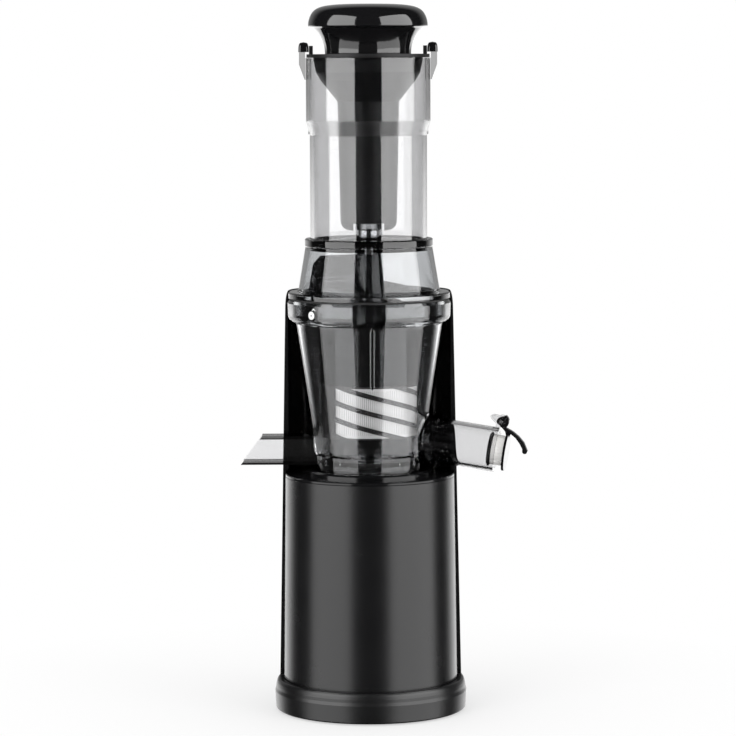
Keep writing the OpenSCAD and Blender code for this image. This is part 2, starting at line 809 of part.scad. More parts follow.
module lay_shaft() {
    color(steel) translate([axis_gap, 0, 0]) disc(motor_shaft_r, case_z + 0.5, box_top - 0.5);
}

module output_shaft() {
    color(steel) {
        disc(motor_shaft_r, mesh_2_z + 0.5, mesh_4_z);
        disc(output_r, mesh_4_z - 0.3, hex_z);
        translate([0, 0, hex_z - eps]) cylinder(r = output_r, h = hex_top - hex_z, $fn = 6);
    }
}

module output_bearing() {
    color(steel) tube(bearing_out_r, output_r + run_gap, bearing_z, bearing_z + bearing_out_w);
}

module shaft_seal() {
    color(rubber) tube(seal_r, output_r + run_gap, deck_z - 2, deck_top + 0.8);
}

// Outline round both gear axes
module case_outline(r) {
    hull() {
        circle(r = r, $fn = 64);
        translate([axis_gap, 0]) circle(r = r, $fn = 64);
    }
}

module gearbox_case() {
    color([0.5, 0.5, 0.52]) difference() {
        union() {
            translate([0, 0, case_z]) linear_extrude(case_top - case_z) case_outline(case_r);
            disc(box_lug_ring_r + 4.4, case_top - 2.5, case_top);
        }
        translate([0, 0, case_z + case_floor]) linear_extrude(case_top) case_outline(case_r - case_wall);
        disc(motor_shaft_r + 1.5, case_z - 1, case_z + case_floor + 1);
        translate([axis_gap, 0, 0]) disc(motor_shaft_r, case_z + 0.5, case_z + case_floor + 1);
        on_ring(motor_screw_ring_r, deck_lug_angles)
            disc(screw_hole_r, case_z - 1, case_z + case_floor + 1);
        on_ring(box_lug_ring_r, box_lug_angles) disc(screw_hole_r, case_top - 4, case_top + 1);
    }
}

module gearbox_cover() {
    color([0.5, 0.5, 0.52]) difference() {
        union() {
            translate([0, 0, case_top]) linear_extrude(cover_t) case_outline(case_r);
            disc(box_lug_ring_r + 4.4, case_top, box_top);
            disc(bearing_out_r + 3, bearing_z - 0.5, bearing_z + bearing_out_w + 1);
        }
        disc(bearing_out_r + 0.05, bearing_z, bearing_z + bearing_out_w + 2);
        disc(bearing_out_r - 2, bearing_z - 1, bearing_z + 1);
        translate([axis_gap, 0, 0]) disc(motor_shaft_r, case_top - 1, box_top - 0.5);
        on_ring(box_lug_ring_r, box_lug_angles) disc(screw_hole_r, case_top - 1, box_top + 1);
    }
}

module gearbox_screws() {
    color(steel) on_ring(box_lug_ring_r, box_lug_angles)
        translate([0, 0, case_top - 2.5]) screw(14);
}

// ---------- bowl ----------

// The space inside the bowl's wall
module bowl_cavity() {
    rotate_extrude() polygon([
        [0, bowl_floor_top], [bowl_floor_r, bowl_floor_top], [bowl_floor_r, bowl_low_z - 5],
        [bowl_in_r, bowl_low_z], [bowl_at(collar_z) - bowl_wall, collar_z],
        [bowl_at(collar_z) - bowl_wall, rim_z], [0, rim_z]]);
}

// The chute's side outline, pulled in by its wall for the channel
chute_z = bowl_floor_z - 0.4;
chute_front_y = shell_front_y - 0.5 - chute_d;

module chute_block(inset, gap = 0) {
    translate([0, chute_front_y + chute_d - inset + gap, 0]) rotate([90, 0, 0])
        linear_extrude(chute_d - 2 * inset + 2 * gap) polygon([
            [-20, chute_z + inset - gap],
            [-chute_reach - 4 * inset, chute_z + inset - gap],
            [chute_slant - chute_reach - 4 * inset, chute_z + chute_h - inset + gap],
            [-20, chute_z + chute_h - inset + gap]]);
}

module chute_port_core() {
    disc(strainer_r + 0.3, 0, 2 * big);
}

module pulp_chute() {
    color(clear) difference() {
        chute_block(0);
        chute_block(chute_wall);
        chute_port_core();
    }
}

// Places a child on the spout's axis, +Z outwards and -X up
module at_spout() {
    rotate([0, 0, -spout_yaw]) translate([spout_ring_r, 0, spout_z]) rotate([0, 90 + spout_tilt, 0])
        children();
}

module juice_spout() {
    ear_r = 3.4;
    post_l = 5;
    color(clear) difference() {
        union() {
            at_spout() translate([0, 0, -12]) cylinder(r = spout_r, h = spout_l + 12);
            at_spout() for (y = [-1, 1]) translate([0, y * (ear_gap / 2 + 0.8), spout_l]) rotate([90, 0, 0])
                linear_extrude(1.6, center = true) polygon(concat(
                    [[-spout_r + 1, 0], [-spout_r + 1, -post_l], [-spout_r - 1.2, 0.4 - post_l / 2],
                     [-pivot_up + 1, pivot_out - ear_r + 0.4], [-pivot_up - 1, pivot_out - 5.6],
                     [-pivot_up - 2.4, pivot_out - 6.4], [-pivot_up - 3, pivot_out - 5]],
                    arc(-pivot_up, pivot_out, ear_r, 215, 90, 5),
                    arc(-pivot_up, pivot_out, ear_r, 60, 20, 2),
                    [[-spout_r - 1, 0]]));
        }
        at_spout() translate([0, 0, -14]) cylinder(r = bore_r, h = spout_l + 20);
        at_spout() translate([-pivot_up, 10, spout_l + pivot_out]) rotate([90, 0, 0])
            cylinder(r = cap_pin_r, h = 20);
        bowl_cavity();
        chute_port_core();
    }
}

module bowl() {
    foot_wall = 2;
    profile = concat(
        [[bowl_foot_r - foot_wall, bowl_z], [bowl_foot_r - 0.6, bowl_z], [bowl_foot_r, bowl_z + 1],
         [bowl_foot_r + 0.1, seat_top]],
        arc(bowl_low_r - 6, bowl_low_z - 3, 6, -50, 0, 4),
        [[bowl_low_r, bowl_low_z], [bowl_high_r, collar_z - 0.6], [bowl_high_r + 0.6, collar_z]],
        arc(collar_r - 4.2, collar_z + 4, 4, -80, 0, 5),
        [[collar_r, rim_z - 1.6], [collar_r - 0.9, rim_z],
         [groove_r, rim_z], [groove_r, collar_ledge_z], [bowl_at(collar_z) - bowl_wall, collar_ledge_z],
         [bowl_at(collar_z) - bowl_wall, collar_z], [bowl_in_r, bowl_low_z],
         [bowl_floor_r, bowl_low_z - 5], [bowl_floor_r, bowl_floor_top],
         [hub_tube_r, bowl_floor_top], [hub_tube_r, strainer_z - 0.4], [hub_bore_r, strainer_z - 0.4],
         [hub_bore_r, bowl_floor_z + 2], [seal_seat_r, bowl_floor_z + 2], [seal_seat_r, bowl_floor_z - 1.4],
         [seal_seat_r + 2, bowl_floor_z - 1.4], [seal_seat_r + 2, bowl_floor_z],
         [bowl_foot_r - foot_wall, bowl_floor_z]]);
    color(smoke) difference() {
        union() {
            rotate_extrude() polygon(profile);
            for (a = tab_angles) rotate(a - tab_sweep / 2) rotate_extrude(angle = tab_sweep) polygon([
                [tab_r, tab_z], [groove_r + 0.4, tab_z], [groove_r + 0.4, rim_z], [tab_r, rim_z]]);
            for (a = key_angles) rotate(a) translate([bowl_foot_r - 1, -2.5, bowl_z])
                cube([3, 5, 3]);
            difference() {
                at_spout() translate([0, 0, -8]) cylinder(r = spout_r + 2, h = 12);
                bowl_cavity();
                disc(bowl_foot_r, 0, bowl_floor_top);
            }
        }
        at_spout() translate([0, 0, -12]) cylinder(r = spout_r + 0.05, h = 30);
        difference() {
            chute_block(0, 0.05);
            chute_port_core();
        }
        translate([0, magnet_y, collar_ledge_z - 2]) cylinder(r = magnet_r + 0.05, h = 4);
    }
}

module bowl_seal() {
    color(rubber) tube(seal_seat_r, spigot_r + run_gap, bowl_floor_z - 1.2, bowl_floor_z + 1.9);
}

module bowl_magnet() {
    color(steel) translate([0, magnet_y, collar_ledge_z - 1.9]) cylinder(r = magnet_r, h = 1.8);
}

// One turn-by-turn strip that climbs round the axis, as a twisted flat section
module helix_strip(r_in, r_out, sweep, lead, z0, z1, step) {
    turn = 360 * (z1 - z0) / lead;
    n = ceil(sweep / 9);
    translate([0, 0, z0]) linear_extrude(z1 - z0, twist = turn, slices = ceil(turn / step), $fn = 8)
        polygon(concat(arc(0, 0, r_out, 0, sweep, n), arc(0, 0, r_in, sweep, 0, n)));
}

module strainer_frame() {
    rib_sweep = 360 * rib_h / rib_lead;
    color([0.1, 0.1, 0.11, 0.75]) {
        difference() {
            union() {
                tube(strainer_r, ring_in_r, strainer_z, sill_z);
                tube(strainer_r, frame_in_r, strainer_z, mesh_z);
                tube(ring_in_r + 1, hub_tube_r + 0.7, strainer_z, strainer_z + 2);
            }
            translate([-strainer_r - 3, chute_front_y + 3, strainer_z + 2]) cube([12, chute_d - 5.5, 3.2]);
            tube(mesh_r + 0.05, mesh_in_r - 0.05, mesh_z - 1, mesh_z + 1);
        }
        difference() {
            tube(strainer_r, frame_in_r, mesh_top, strainer_top);
            tube(mesh_r + 0.05, mesh_in_r - 0.05, mesh_top - 1, mesh_top + 1);
        }
        tube(bowl_at(strainer_top) - bowl_wall - 0.35, strainer_r - 1, strainer_top - 2, strainer_top);
        for (i = [0:rib_count - 1]) rotate(rib_turn + i * 360 / rib_count) helix_strip(
            mesh_r + 0.08, strainer_r - 0.25, rib_sweep, rib_lead, mesh_z - 0.5, mesh_top + 0.5, 9);
        rotate(150) rotate_extrude(angle = 76) polygon([
            [mesh_r + 0.08, mesh_z - 0.5], [strainer_r - 0.6, mesh_z - 0.5],
            [strainer_r - 0.6, mesh_top + 0.5], [mesh_r + 0.08, mesh_top + 0.5]]);
    }
}

module strainer_mesh() {
    slot_w = 0.7;
    color(steel) difference() {
        tube(mesh_r, mesh_in_r, mesh_z - 1, mesh_top + 1);
        for (i = [0:mesh_slots - 1]) rotate(i * 360 / mesh_slots)
            translate([mesh_in_r - 2, -slot_w / 2, mesh_z + 1.5]) cube([6, slot_w, mesh_h - 3]);
    }
}

module auger() {
    sweep = 360 * flight_t / auger_lead;
    z0 = core_z0 - 2;
    wing_z = auger_top - 11.7;
    start = 180 + 360 * (wing_z - z0) / auger_lead - sweep / 2;
    low = [[0, z0], [flange_r - 1, z0], [flange_r - 1, sill_z + 0.4], [auger_r, sill_z + 0.4],
           [auger_r, strainer_top + 0.8], [wing_at(lid_top) - 1, strainer_top + 3.4]];
    color([0.07, 0.07, 0.08]) difference() {
        union() {
            rotate_extrude() polygon([
                [0, bowl_floor_z - 1], [spigot_r, bowl_floor_z - 1], [spigot_r, flange_z],
                [flange_r, flange_z], [flange_r, core_z0], [core_low_r, core_z0 + 1],
                [core_low_r - 2, core_z0 + 22], [(core_low_r + core_high_r) / 2, core_z0 + 49],
                [core_high_r + 2, lid_top + 1], [core_high_r, auger_top], [0, auger_top]]);
            intersection() {
                rotate(start)
                    helix_strip(core_high_r - 3, wing_at(lid_top) + 3, sweep, auger_lead, z0, wing_z, 12);
                rotate_extrude() polygon(concat(low, [
                    [wing_at(lid_top) - 0.5, lid_top + 1], [wing_at(wing_z + 2) - 1, wing_z + 2],
                    [0, wing_z + 2]]));
            }
            intersection() {
                rotate(start + 180)
                    helix_strip(core_high_r - 3, wing_at(lid_top) + 3, sweep, auger_lead, z0, wing_z, 12);
                rotate_extrude() polygon(concat(low, [
                    [wing_at(lid_top) - 1, lid_top + 1], [core_high_r + 1, wing_z - 4], [0, wing_z - 4]]));
            }
            intersection() {
                translate([-wing_at(lid_top) - 3, -2, lid_top - 1])
                    cube([wing_at(lid_top) + 3, 4, auger_top - lid_top + 1]);
                rotate_extrude() polygon([
                    [0, lid_top - 2], [wing_at(lid_top), lid_top - 2], [wing_at(lid_top), lid_top],
                    [wing_at(auger_top - 6), auger_top - 6], [wing_at(auger_top) - 3, auger_top - 1.4],
                    [0, auger_top - 0.4]]);
            }
        }
        disc(socket_r + 0.05, bowl_floor_z - 2, core_z0 + 3);
        disc(pin_r, auger_top - 12, auger_top + 1);
    }
}

module auger_pin() {
    color(steel) rotate_extrude() polygon([
        [0, auger_top - 12], [pin_r, auger_top - 12], [pin_r, pin_top - 0.8], [pin_r - 0.8, pin_top],
        [0, pin_top]]);
}

module auger_socket() {
    color(steel) difference() {
        disc(socket_r, bowl_floor_z - 1, core_z0 + 2.5);
        translate([0, 0, bowl_floor_z - 2])
            cylinder(r = output_r + 0.15, h = hex_top - bowl_floor_z + 2.5, $fn = 6);
    }
}

// ---------- drip cap ----------

module drip_cap() {
    face_r = spout_r - 1.55;
    tongue = ear_gap - 0.4;
    color(gloss_black) at_spout() translate([0, 0, spout_l]) difference() {
        union() {
            translate([0, 0, -4.6]) cylinder(r = plug_r, h = cap_z + 4.6 + eps);
            translate([0, 0, cap_z]) cylinder(r = face_r, h = 1.4);
            translate([-pivot_up, 0, 0]) rotate([90, 0, 0])
                linear_extrude(tongue, center = true) polygon(concat(
                [[8.5, cap_z], [8.5, cap_z + 1.4], [6.3, cap_z + 2.2], [7.9, cap_z + 5],
                 [10.7, cap_z + 7.8], [13.5, cap_z + 9.8]],
                arc(14.7, cap_z + 11.4, 1.5, -100, 140, 6),
                [[9.9, cap_z + 10.2], [6.9, cap_z + 6.8], [4.7, cap_z + 3.2]],
                arc(0, pivot_out, 4.4, 45, 150, 5),
                arc(0, pivot_out, 2.6, 180, 300, 5),
                [[2.2, pivot_out - 0.6], [5.3, cap_z - 1.2]]));
        }
        translate([-pivot_up, 10, pivot_out]) rotate([90, 0, 0]) cylinder(r = cap_pin_r + run_gap, h = 20);
        translate([0, 0, -4]) cylinder(r = plug_r - 1.6, h = cap_z + 3.6);
        translate([0, 0, -3.6]) rotate_extrude() polygon([
            [plug_r - 0.6, -0.9], [plug_r + 1, -0.9], [plug_r + 1, 0.9], [plug_r - 0.6, 0.9]]);
    }
}

module drip_cap_seal() {
    color(rubber) at_spout() translate([0, 0, spout_l - 3.6]) rotate_extrude() polygon([
        [plug_r - 0.6, -0.85], [plug_r, -0.85], [bore_r - 0.9, -0.4], [bore_r - 0.75, 0],
        [bore_r - 0.9, 0.4], [plug_r, 0.85], [plug_r - 0.6, 0.85]]);
}

module drip_cap_pin() {
    w = ear_gap + 3.2;
    color(steel) at_spout() translate([-pivot_up, w / 2, spout_l + pivot_out]) rotate([90, 0, 0])
        cylinder(r = cap_pin_r, h = w);
}

// ---------- lid, hopper and pusher ----------

module lid() {
    ledge_r = hopper_r - hopper_wall + 0.1;
    color(smoke) difference() {
        union() {
            rotate_extrude() polygon([
                [skirt_r - lid_wall, skirt_z], [skirt_r, skirt_z], [skirt_r, lid_z], [lid_r, lid_z],
                [lid_r, lid_top - 0.8], [lid_r - 0.8, lid_top], [cone_low_r + 1, lid_top + 0.1],
                [cone_low_r, lid_top + 1.7], [cone_high_r, neck_z - 4.6], [cone_high_r + 0.3, neck_z - 4],
                [cone_high_r + 0.3, neck_z - 0.6], [cone_high_r - 0.4, neck_z], [hopper_r + 0.3, neck_z],
                [hopper_r + 0.3, socket_z], [ledge_r, socket_z], [ledge_r, socket_z - 1.4],
                [cone_high_r - lid_wall, socket_z - 3.4],
                [cone_low_r - lid_wall, lid_top + 1.4], [skirt_r - lid_wall, lid_z + 0.4]]);
            for (a = tab_angles) rotate(a - lug_sweep / 2) rotate_extrude(angle = lug_sweep) polygon([
                [skirt_r - 0.4, tab_z - 3], [groove_r - 0.3, tab_z - 3], [groove_r - 0.3, tab_z - 0.4],
                [skirt_r - 0.4, tab_z - 0.4]]);
            disc(hub_r, bar_z, hub_top);
            translate([-2, -cone_high_r + 1.4, bar_z]) cube([4, 2 * (cone_high_r - 1.4), socket_z - bar_z]);
        }
        disc(pin_r + run_gap, bar_z - 1, hub_top + 1);
    }
}

module lid_seal() {
    color(rubber) tube(lid_r - 0.4, skirt_r + 0.05, rim_z + 0.2, lid_z);
}

module hopper() {
    color(clear) difference() {
        union() {
            rotate_extrude() polygon([
                [hopper_r - hopper_wall, hopper_z], [hopper_r, hopper_z], [hopper_r, flare_z],
                [mouth_r, flare_top_z], [mouth_r, mouth_z], [mouth_r - hopper_wall, mouth_z],
                [mouth_r - hopper_wall, flare_top_z + 0.6], [hopper_r - hopper_wall, flare_z + 0.6]]);
            for (s = [0, 180]) rotate(s) rotate([90, 0, 0]) linear_extrude(ear_w, center = true) polygon([
                [mouth_r - 1, mouth_z - 12], [mouth_r + 0.6, mouth_z - 12], [ear_x, mouth_z - 3.5],
                [ear_x, mouth_z + 4.8], [ear_x - 0.6, mouth_z + 4.8], [ear_x - 0.6, mouth_z + 7],
                [mouth_r + 0.4, mouth_z + 7], [mouth_r + 0.4, mouth_z], [mouth_r - 1, mouth_z]]);
        }
        for (s = [0, 180]) rotate(s) translate([28, 0, flare_z + 1.7]) rotate([0, 90, 0])
            cylinder(r = 1.05, h = 10);
    }
}

module hopper_stops() {
    color(rubber) for (s = [0, 180]) rotate(s) translate([hopper_r - hopper_wall - 0.5, 0, flare_z + 1.7])
        rotate([0, 90, 0]) cylinder(r = 1, h = hopper_wall + 1.2);
}

module ear_caps() {
    color(gloss_black) for (s = [0, 180]) rotate(s) difference() {
        translate([mouth_r - 0.7, -5, mouth_z + 4.8]) cube([ear_x + 0.4 - mouth_r + 0.7, 10, 4.2]);
        translate([mouth_r + 0.3, -ear_w / 2 - 0.1, mouth_z])
            cube([ear_x - 0.8 - mouth_r, ear_w + 0.2, 7.1]);
    }
}

// The pusher's outside from its foot to the flange
function pusher_outline(inset) = concat(
    [[0, pusher_z + inset]],
    arc(pusher_low_r - 5, pusher_z + 5, 5 - inset, -90, 0, 4),
    [for (p = [[0, -24.3], [0.366, -18.3], [0.701, -12.5], [0.896, -8], [1, -1.3]])
        [pusher_high_r + p[0] * (bell_r - pusher_high_r) - inset, mouth_z + p[1]]]);

module pusher() {
    hollow_r = knob_r - 11.6;
    hub_room = hub_top + 0.6;
    color(gloss_black) difference() {
        union() {
            rotate_extrude() polygon(concat(pusher_outline(0), [[bell_r, flange_top_z], [0, flange_top_z]]));
            disc(mouth_r - 0.4, flange_low_z, flange_top_z);
            for (s = [0, 180]) rotate(s) translate([mouth_r - 4, -3, flange_top_z - 0.5]) cube([2.1, 6, 5.2]);
        }
        rotate_extrude() polygon(concat(
            [for (p = pusher_outline(pusher_wall)) p + [0, p[1] < pusher_z + 10 ? hub_room - pusher_z : 0]],
            [[bell_r - pusher_wall, flange_low_z - 1], [hollow_r, flange_low_z - 1],
             [hollow_r, flange_top_z + 1], [0, flange_top_z + 1]]));
        translate([-hub_r - 1, -pusher_low_r - 1, pusher_z - 1])
            cube([2 * hub_r + 2, 2 * pusher_low_r + 2, hub_room - pusher_z + 1]);
    }
}

module pusher_knob() {
    z0 = flange_top_z;
    lip_z = top_z - 13;
    neck_h = lip_z - z0;
    neck_r = knob_r - 8;
    plug = neck_r - 3.8;
    color(gloss_black) difference() {
        rotate_extrude() polygon(concat(
            [[0, flange_low_z + 0.2], [plug, flange_low_z + 0.2], [plug, z0]],
            [for (p = [[0, 0], [0.1, 0.2], [0.4, 0.4], [0.95, 0.6], [1.9, 0.8], [2.9, 0.9], [4.4, 0.99]])
                [neck_r + p[0], z0 + p[1] * neck_h]],
            [for (p = [[-0.9, 0.1], [-0.2, 0.45], [0, 1.1], [-0.3, 3.2], [-0.9, 5.2], [-1.7, 7], [-2.7, 8.4],
                       [-4, 9.6], [-5.8, 10.7], [-8.2, 11.6], [-11.2, 12.3], [-16, 12.8], [-knob_r, 13]])
                [knob_r + p[0], lip_z + p[1]]]));
        rotate_extrude() polygon([
            [0, flange_low_z - 1], [plug - 2.8, flange_low_z - 1], [plug - 2.8, z0 + 0.5 * neck_h],
            [plug - 1.6, lip_z - 1], [knob_r - 6.5, lip_z + 2.6], [knob_r - 4.2, lip_z + 4.2],
            [knob_r - 5.4, lip_z + 6.4], [knob_r - 8.6, lip_z + 8.2], [knob_r - 13, lip_z + 9.2],
            [0, lip_z + 9.8]]);
    }
}

base_ring();
bottom_plate();
rubber_feet();
base_screws();
drum_shell();
rear_shell();
deck();
deck_screws();
column_spine();
column_screws();
sensor_board();
cord_gland();
switch_housing();
switch_rocker();
control_board();
board_screws();
motor_can();
motor_end_bell();
motor_bearings();
motor_magnets();
brush_card();
carbon_brushes();
motor_screws();
motor_shaft();
armature_core();
armature_winding();
commutator();
cooling_fan();
motor_pinion();
gearbox_case();
gearbox_cover();
gearbox_screws();
lay_shaft();
lay_gear_lower();
lay_gear_upper();
centre_gear();
output_gear();
output_shaft();
output_bearing();
shaft_seal();
bowl();
bowl_seal();
bowl_magnet();
pulp_chute();
juice_spout();
strainer_frame();
strainer_mesh();
auger();
auger_socket();
auger_pin();
drip_cap();
drip_cap_seal();
drip_cap_pin();
lid();
lid_seal();
hopper();
hopper_stops();
ear_caps();
pusher();
pusher_knob();
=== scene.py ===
import math

import bmesh
import bpy
import numpy as np
from mathutils import Matrix, Vector


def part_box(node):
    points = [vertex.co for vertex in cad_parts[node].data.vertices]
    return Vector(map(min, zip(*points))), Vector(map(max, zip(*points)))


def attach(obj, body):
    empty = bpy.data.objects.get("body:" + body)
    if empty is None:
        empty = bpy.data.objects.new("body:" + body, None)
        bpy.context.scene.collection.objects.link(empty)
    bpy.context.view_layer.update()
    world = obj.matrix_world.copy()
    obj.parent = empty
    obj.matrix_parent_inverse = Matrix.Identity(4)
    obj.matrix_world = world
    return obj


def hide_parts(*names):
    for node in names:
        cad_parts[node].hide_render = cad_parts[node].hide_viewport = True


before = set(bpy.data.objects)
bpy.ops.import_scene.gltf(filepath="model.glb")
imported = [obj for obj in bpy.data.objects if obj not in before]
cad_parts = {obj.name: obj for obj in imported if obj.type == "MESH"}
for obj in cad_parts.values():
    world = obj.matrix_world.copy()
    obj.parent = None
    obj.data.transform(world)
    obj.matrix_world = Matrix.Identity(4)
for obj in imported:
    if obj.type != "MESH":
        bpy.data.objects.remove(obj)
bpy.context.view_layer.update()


# ---------- base ring ----------
# The round foot of the juicer, injection moulded in charcoal ABS with a satin, finely eroded
# finish. It clips the drum to the bottom plate, and a crisp edge runs round it low down.


def feed(tree, node, sockets):
    """Each socket, by name or number, takes a value or the output of another node."""
    for socket, source in sockets.items():
        if isinstance(source, bpy.types.NodeSocket):
            tree.links.new(source, node.inputs[socket])
        else:
            node.inputs[socket].default_value = source


def put(tree, kind, sockets=None, gives=0, operation=None, data_type=None):
    """Adds a shader node, sets what it does and to which kind of data, feeds it, and hands back
    the output that it gives."""
    node = tree.nodes.new("ShaderNode" + kind)
    if operation:
        node.operation = operation
    if data_type:
        node.data_type = data_type
    feed(tree, node, sockets or {})
    return node.outputs[gives]


def mixed(tree, share, first, second):
    """The first colour where the share is nothing and the second where it is one."""
    return put(tree, "Mix", {"Factor": share, "A": first, "B": second}, "Result", data_type="RGBA")


def new_finish(name):
    """A new material, with its node tree and its one shader."""
    mat = bpy.data.materials.new(name)
    mat.use_nodes = True
    return mat, mat.node_tree, mat.node_tree.nodes["Principled BSDF"]


def moulded(name, colour, rough, metal=0.0, grain=0.0, grain_size=0.0004, drift=0.04, shade=0.06,
            gloss=1.5):
    """Moulded or cast finish: colour and roughness drift slowly over the piece, by the shares
    shade and drift, and a fine grain of the given size in metres lifts the surface. gloss is the
    refractive index of its skin."""
    mat, tree, skin = new_finish(name)
    where = put(tree, "TexCoord", gives="Object")
    slow = put(tree, "TexNoise", {"Vector": where, "Scale": 45.0, "Detail": 3.0})
    low, high = [(*[c * (1 + way) for c in colour], 1) for way in (-shade, shade)]
    feed(tree, skin, {
        "Metallic": metal, "IOR": gloss, "Base Color": mixed(tree, slow, low, high),
        "Roughness": put(tree, "MapRange", {"Value": slow, "To Min": max(0.0, rough - drift),
                                            "To Max": rough + drift})})
    if grain:
        fine = put(tree, "TexNoise", {"Vector": where, "Scale": 1 / grain_size, "Detail": 2.0})
        feed(tree, skin, {"Normal": put(tree, "Bump", {"Height": fine, "Strength": grain,
                                                       "Distance": 0.3 * grain_size})})
    return mat


def wear(mat, *names):
    """Every slot of these CAD nodes takes the material."""
    for name in names:
        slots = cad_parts[name].data.materials
        if not slots:
            slots.append(mat)
        for k in range(len(slots)):
            slots[k] = mat


ring_charcoal = moulded("ring_charcoal", (0.004, 0.004, 0.0045), 0.3, grain=0.25,
                        grain_size=0.00045)
wear(ring_charcoal, "base_ring")


# ---------- bottom plate, feet and screws ----------
# A charcoal plate with cooling slots closes the base from below. Four soft rubber feet sit in
# its pockets, and plated screws hold it to the base ring and the drum. The same kind of screw
# holds the deck, the column, the boards, the motor and the gearbox.
underside = moulded("plate_charcoal", (0.022, 0.022, 0.023), 0.5, grain=0.4, grain_size=0.0006)
soft_rubber = moulded("soft_rubber", (0.014, 0.014, 0.014), 0.72, grain=0.5, grain_size=0.0005)
plated = moulded("zinc_plate", (0.58, 0.57, 0.55), 0.28, metal=1.0, grain=0.12,
                 grain_size=0.0003)
wear(underside, "bottom_plate")
wear(soft_rubber, "rubber_feet")
wear(plated, "base_screws", "deck_screws", "column_screws", "board_screws", "motor_screws",
     "gearbox_screws")


# ---------- motor ----------
# A small DC motor: a can of deep-drawn steel closed by a cast end bell, two ferrite magnets, a
# laminate card with two carbon brushes, and an armature of stacked laminations wound with
# enamelled copper on a ground shaft. A moulded nylon fan is pressed on the shaft.
sheet_steel = moulded("motor_can_steel", (0.42, 0.42, 0.43), 0.38, metal=1.0, grain=0.15,
                      grain_size=0.0008)
cast_zinc = moulded("cast_zinc", (0.46, 0.46, 0.47), 0.55, metal=0.9, grain=0.5,
                    grain_size=0.0007)
ground_steel = moulded("ground_steel", (0.62, 0.62, 0.63), 0.2, metal=1.0, grain=0.08,
                       grain_size=0.0003)
ferrite = moulded("ferrite", (0.05, 0.05, 0.055), 0.6, grain=0.5, grain_size=0.0005)
resin = moulded("laminate", (0.28, 0.22, 0.12), 0.45, grain=0.2, grain_size=0.0006)
carbon = moulded("brush_carbon", (0.02, 0.02, 0.02), 0.5, grain=0.5, grain_size=0.0003)
copper = moulded("enamelled_copper", (0.55, 0.2, 0.07), 0.3, metal=0.85, grain=0.7,
                 grain_size=0.0009)
nylon = moulded("natural_nylon", (0.78, 0.74, 0.64), 0.42, grain=0.15, grain_size=0.0006)
wear(sheet_steel, "motor_can", "armature_core")
wear(cast_zinc, "motor_end_bell")
wear(ground_steel, "motor_bearings", "motor_shaft", "motor_pinion")
wear(ferrite, "motor_magnets")
wear(resin, "brush_card")
wear(carbon, "carbon_brushes")
wear(copper, "armature_winding", "commutator")
wear(nylon, "cooling_fan")


# ---------- gearbox ----------
# A die-cast zinc case and cover hold the gear train: three moulded nylon gears on ground steel
# pins, and a sintered steel gear on the output shaft, which runs in a steel bearing. A rubber
# seal keeps juice from the shaft.
wear(cast_zinc, "gearbox_case", "gearbox_cover")
wear(nylon, "lay_gear_lower", "lay_gear_upper", "centre_gear")
wear(ground_steel, "lay_shaft", "output_gear", "output_shaft", "output_bearing")
wear(soft_rubber, "shaft_seal")


# ---------- boards ----------
# The control board by the switch and the small sensor board in the column: green glass laminate
# under lacquer, with dark parts soldered on, each held by screws.
green = moulded("board_green", (0.02, 0.16, 0.06), 0.35, grain=0.25, grain_size=0.0012)
wear(green, "control_board", "sensor_board")


# ---------- drum, rear shell and deck ----------
# The motor drum is the same satin charcoal ABS as the base ring. The rear shell behind it is
# gloss black and goes on up as the column, with its spine, the switch and the rocker. The deck
# snaps into the top of the drum, and a rubber gland holds the cord low down at the back.
black_gloss = dict(colour=(0.006, 0.006, 0.0065), rough=0.07, drift=0.02, grain=0.02,
                   grain_size=0.003, gloss=1.62)
gloss_black = moulded("gloss_black", **black_gloss)
charcoal = moulded("charcoal_satin", (0.004, 0.004, 0.0045), 0.26, grain=0.2,
                   grain_size=0.00045, gloss=1.52)
deck_black = moulded("deck_black", (0.005, 0.005, 0.0055), 0.13, grain=0.08, grain_size=0.0005)
wear(charcoal, "drum_shell")
wear(deck_black, "deck")
wear(gloss_black, "rear_shell", "column_spine", "switch_housing", "switch_rocker")
wear(soft_rubber, "cord_gland")


# ---------- bowl ----------
# The juicing bowl, injection moulded in clear copolyester with a grey smoke tint. It stands in
# the deck's seat ring, with a soft seal round the auger's foot and a ferrite magnet let into its
# collar for the safety sensor.


def overlay(mat, share, colour):
    """Where the share is one, the colour takes the place of the finish's own."""
    tree, skin = mat.node_tree, mat.node_tree.nodes["Principled BSDF"]
    own = skin.inputs["Base Color"].links[0].from_socket
    feed(tree, skin, {"Base Color": mixed(tree, share, own, (*colour, 1))})


def clear_plastic(name, tint, rough=0.02, ripple=0.02, slant=0.0, from_facing=0.45):
    """Clear moulded plastic: light passes with the tint at each surface, and a slow ripple of the
    mould's steel shows in what is seen through it.
    Where it is seen at a slant its colour is darkened: partly for the longer way the light has in
    the wall, and mostly as painted shade for the dark edges of clear plastic. From a slant of
    from_facing on it gets darker, and edge-on the share slant of the light is gone."""
    mat, tree, skin = new_finish(name)
    slow = put(tree, "TexNoise", {"Vector": put(tree, "TexCoord", gives="Object"), "Scale": 60.0})
    low, high = [(*[min(1.0, c * part) for c in tint], 1) for part in (0.98, 1.02)]
    feed(tree, skin, {
        "Transmission Weight": 1.0, "IOR": 1.52, "Base Color": mixed(tree, slow, low, high),
        "Roughness": put(tree, "MapRange", {"Value": slow, "To Min": rough - 0.01,
                                            "To Max": rough + 0.01}),
        "Normal": put(tree, "Bump", {"Height": slow, "Strength": ripple, "Distance": 0.0004})})
    # Painted shade: near black laid over the colour where the plastic is seen at a slant.
    if slant:
        tilt = put(tree, "LayerWeight", gives="Facing")
        overlay(mat, put(tree, "MapRange", {"Value": tilt, "From Min": from_facing,
                                            "To Max": slant}), (0.02, 0.02, 0.02))
    return mat


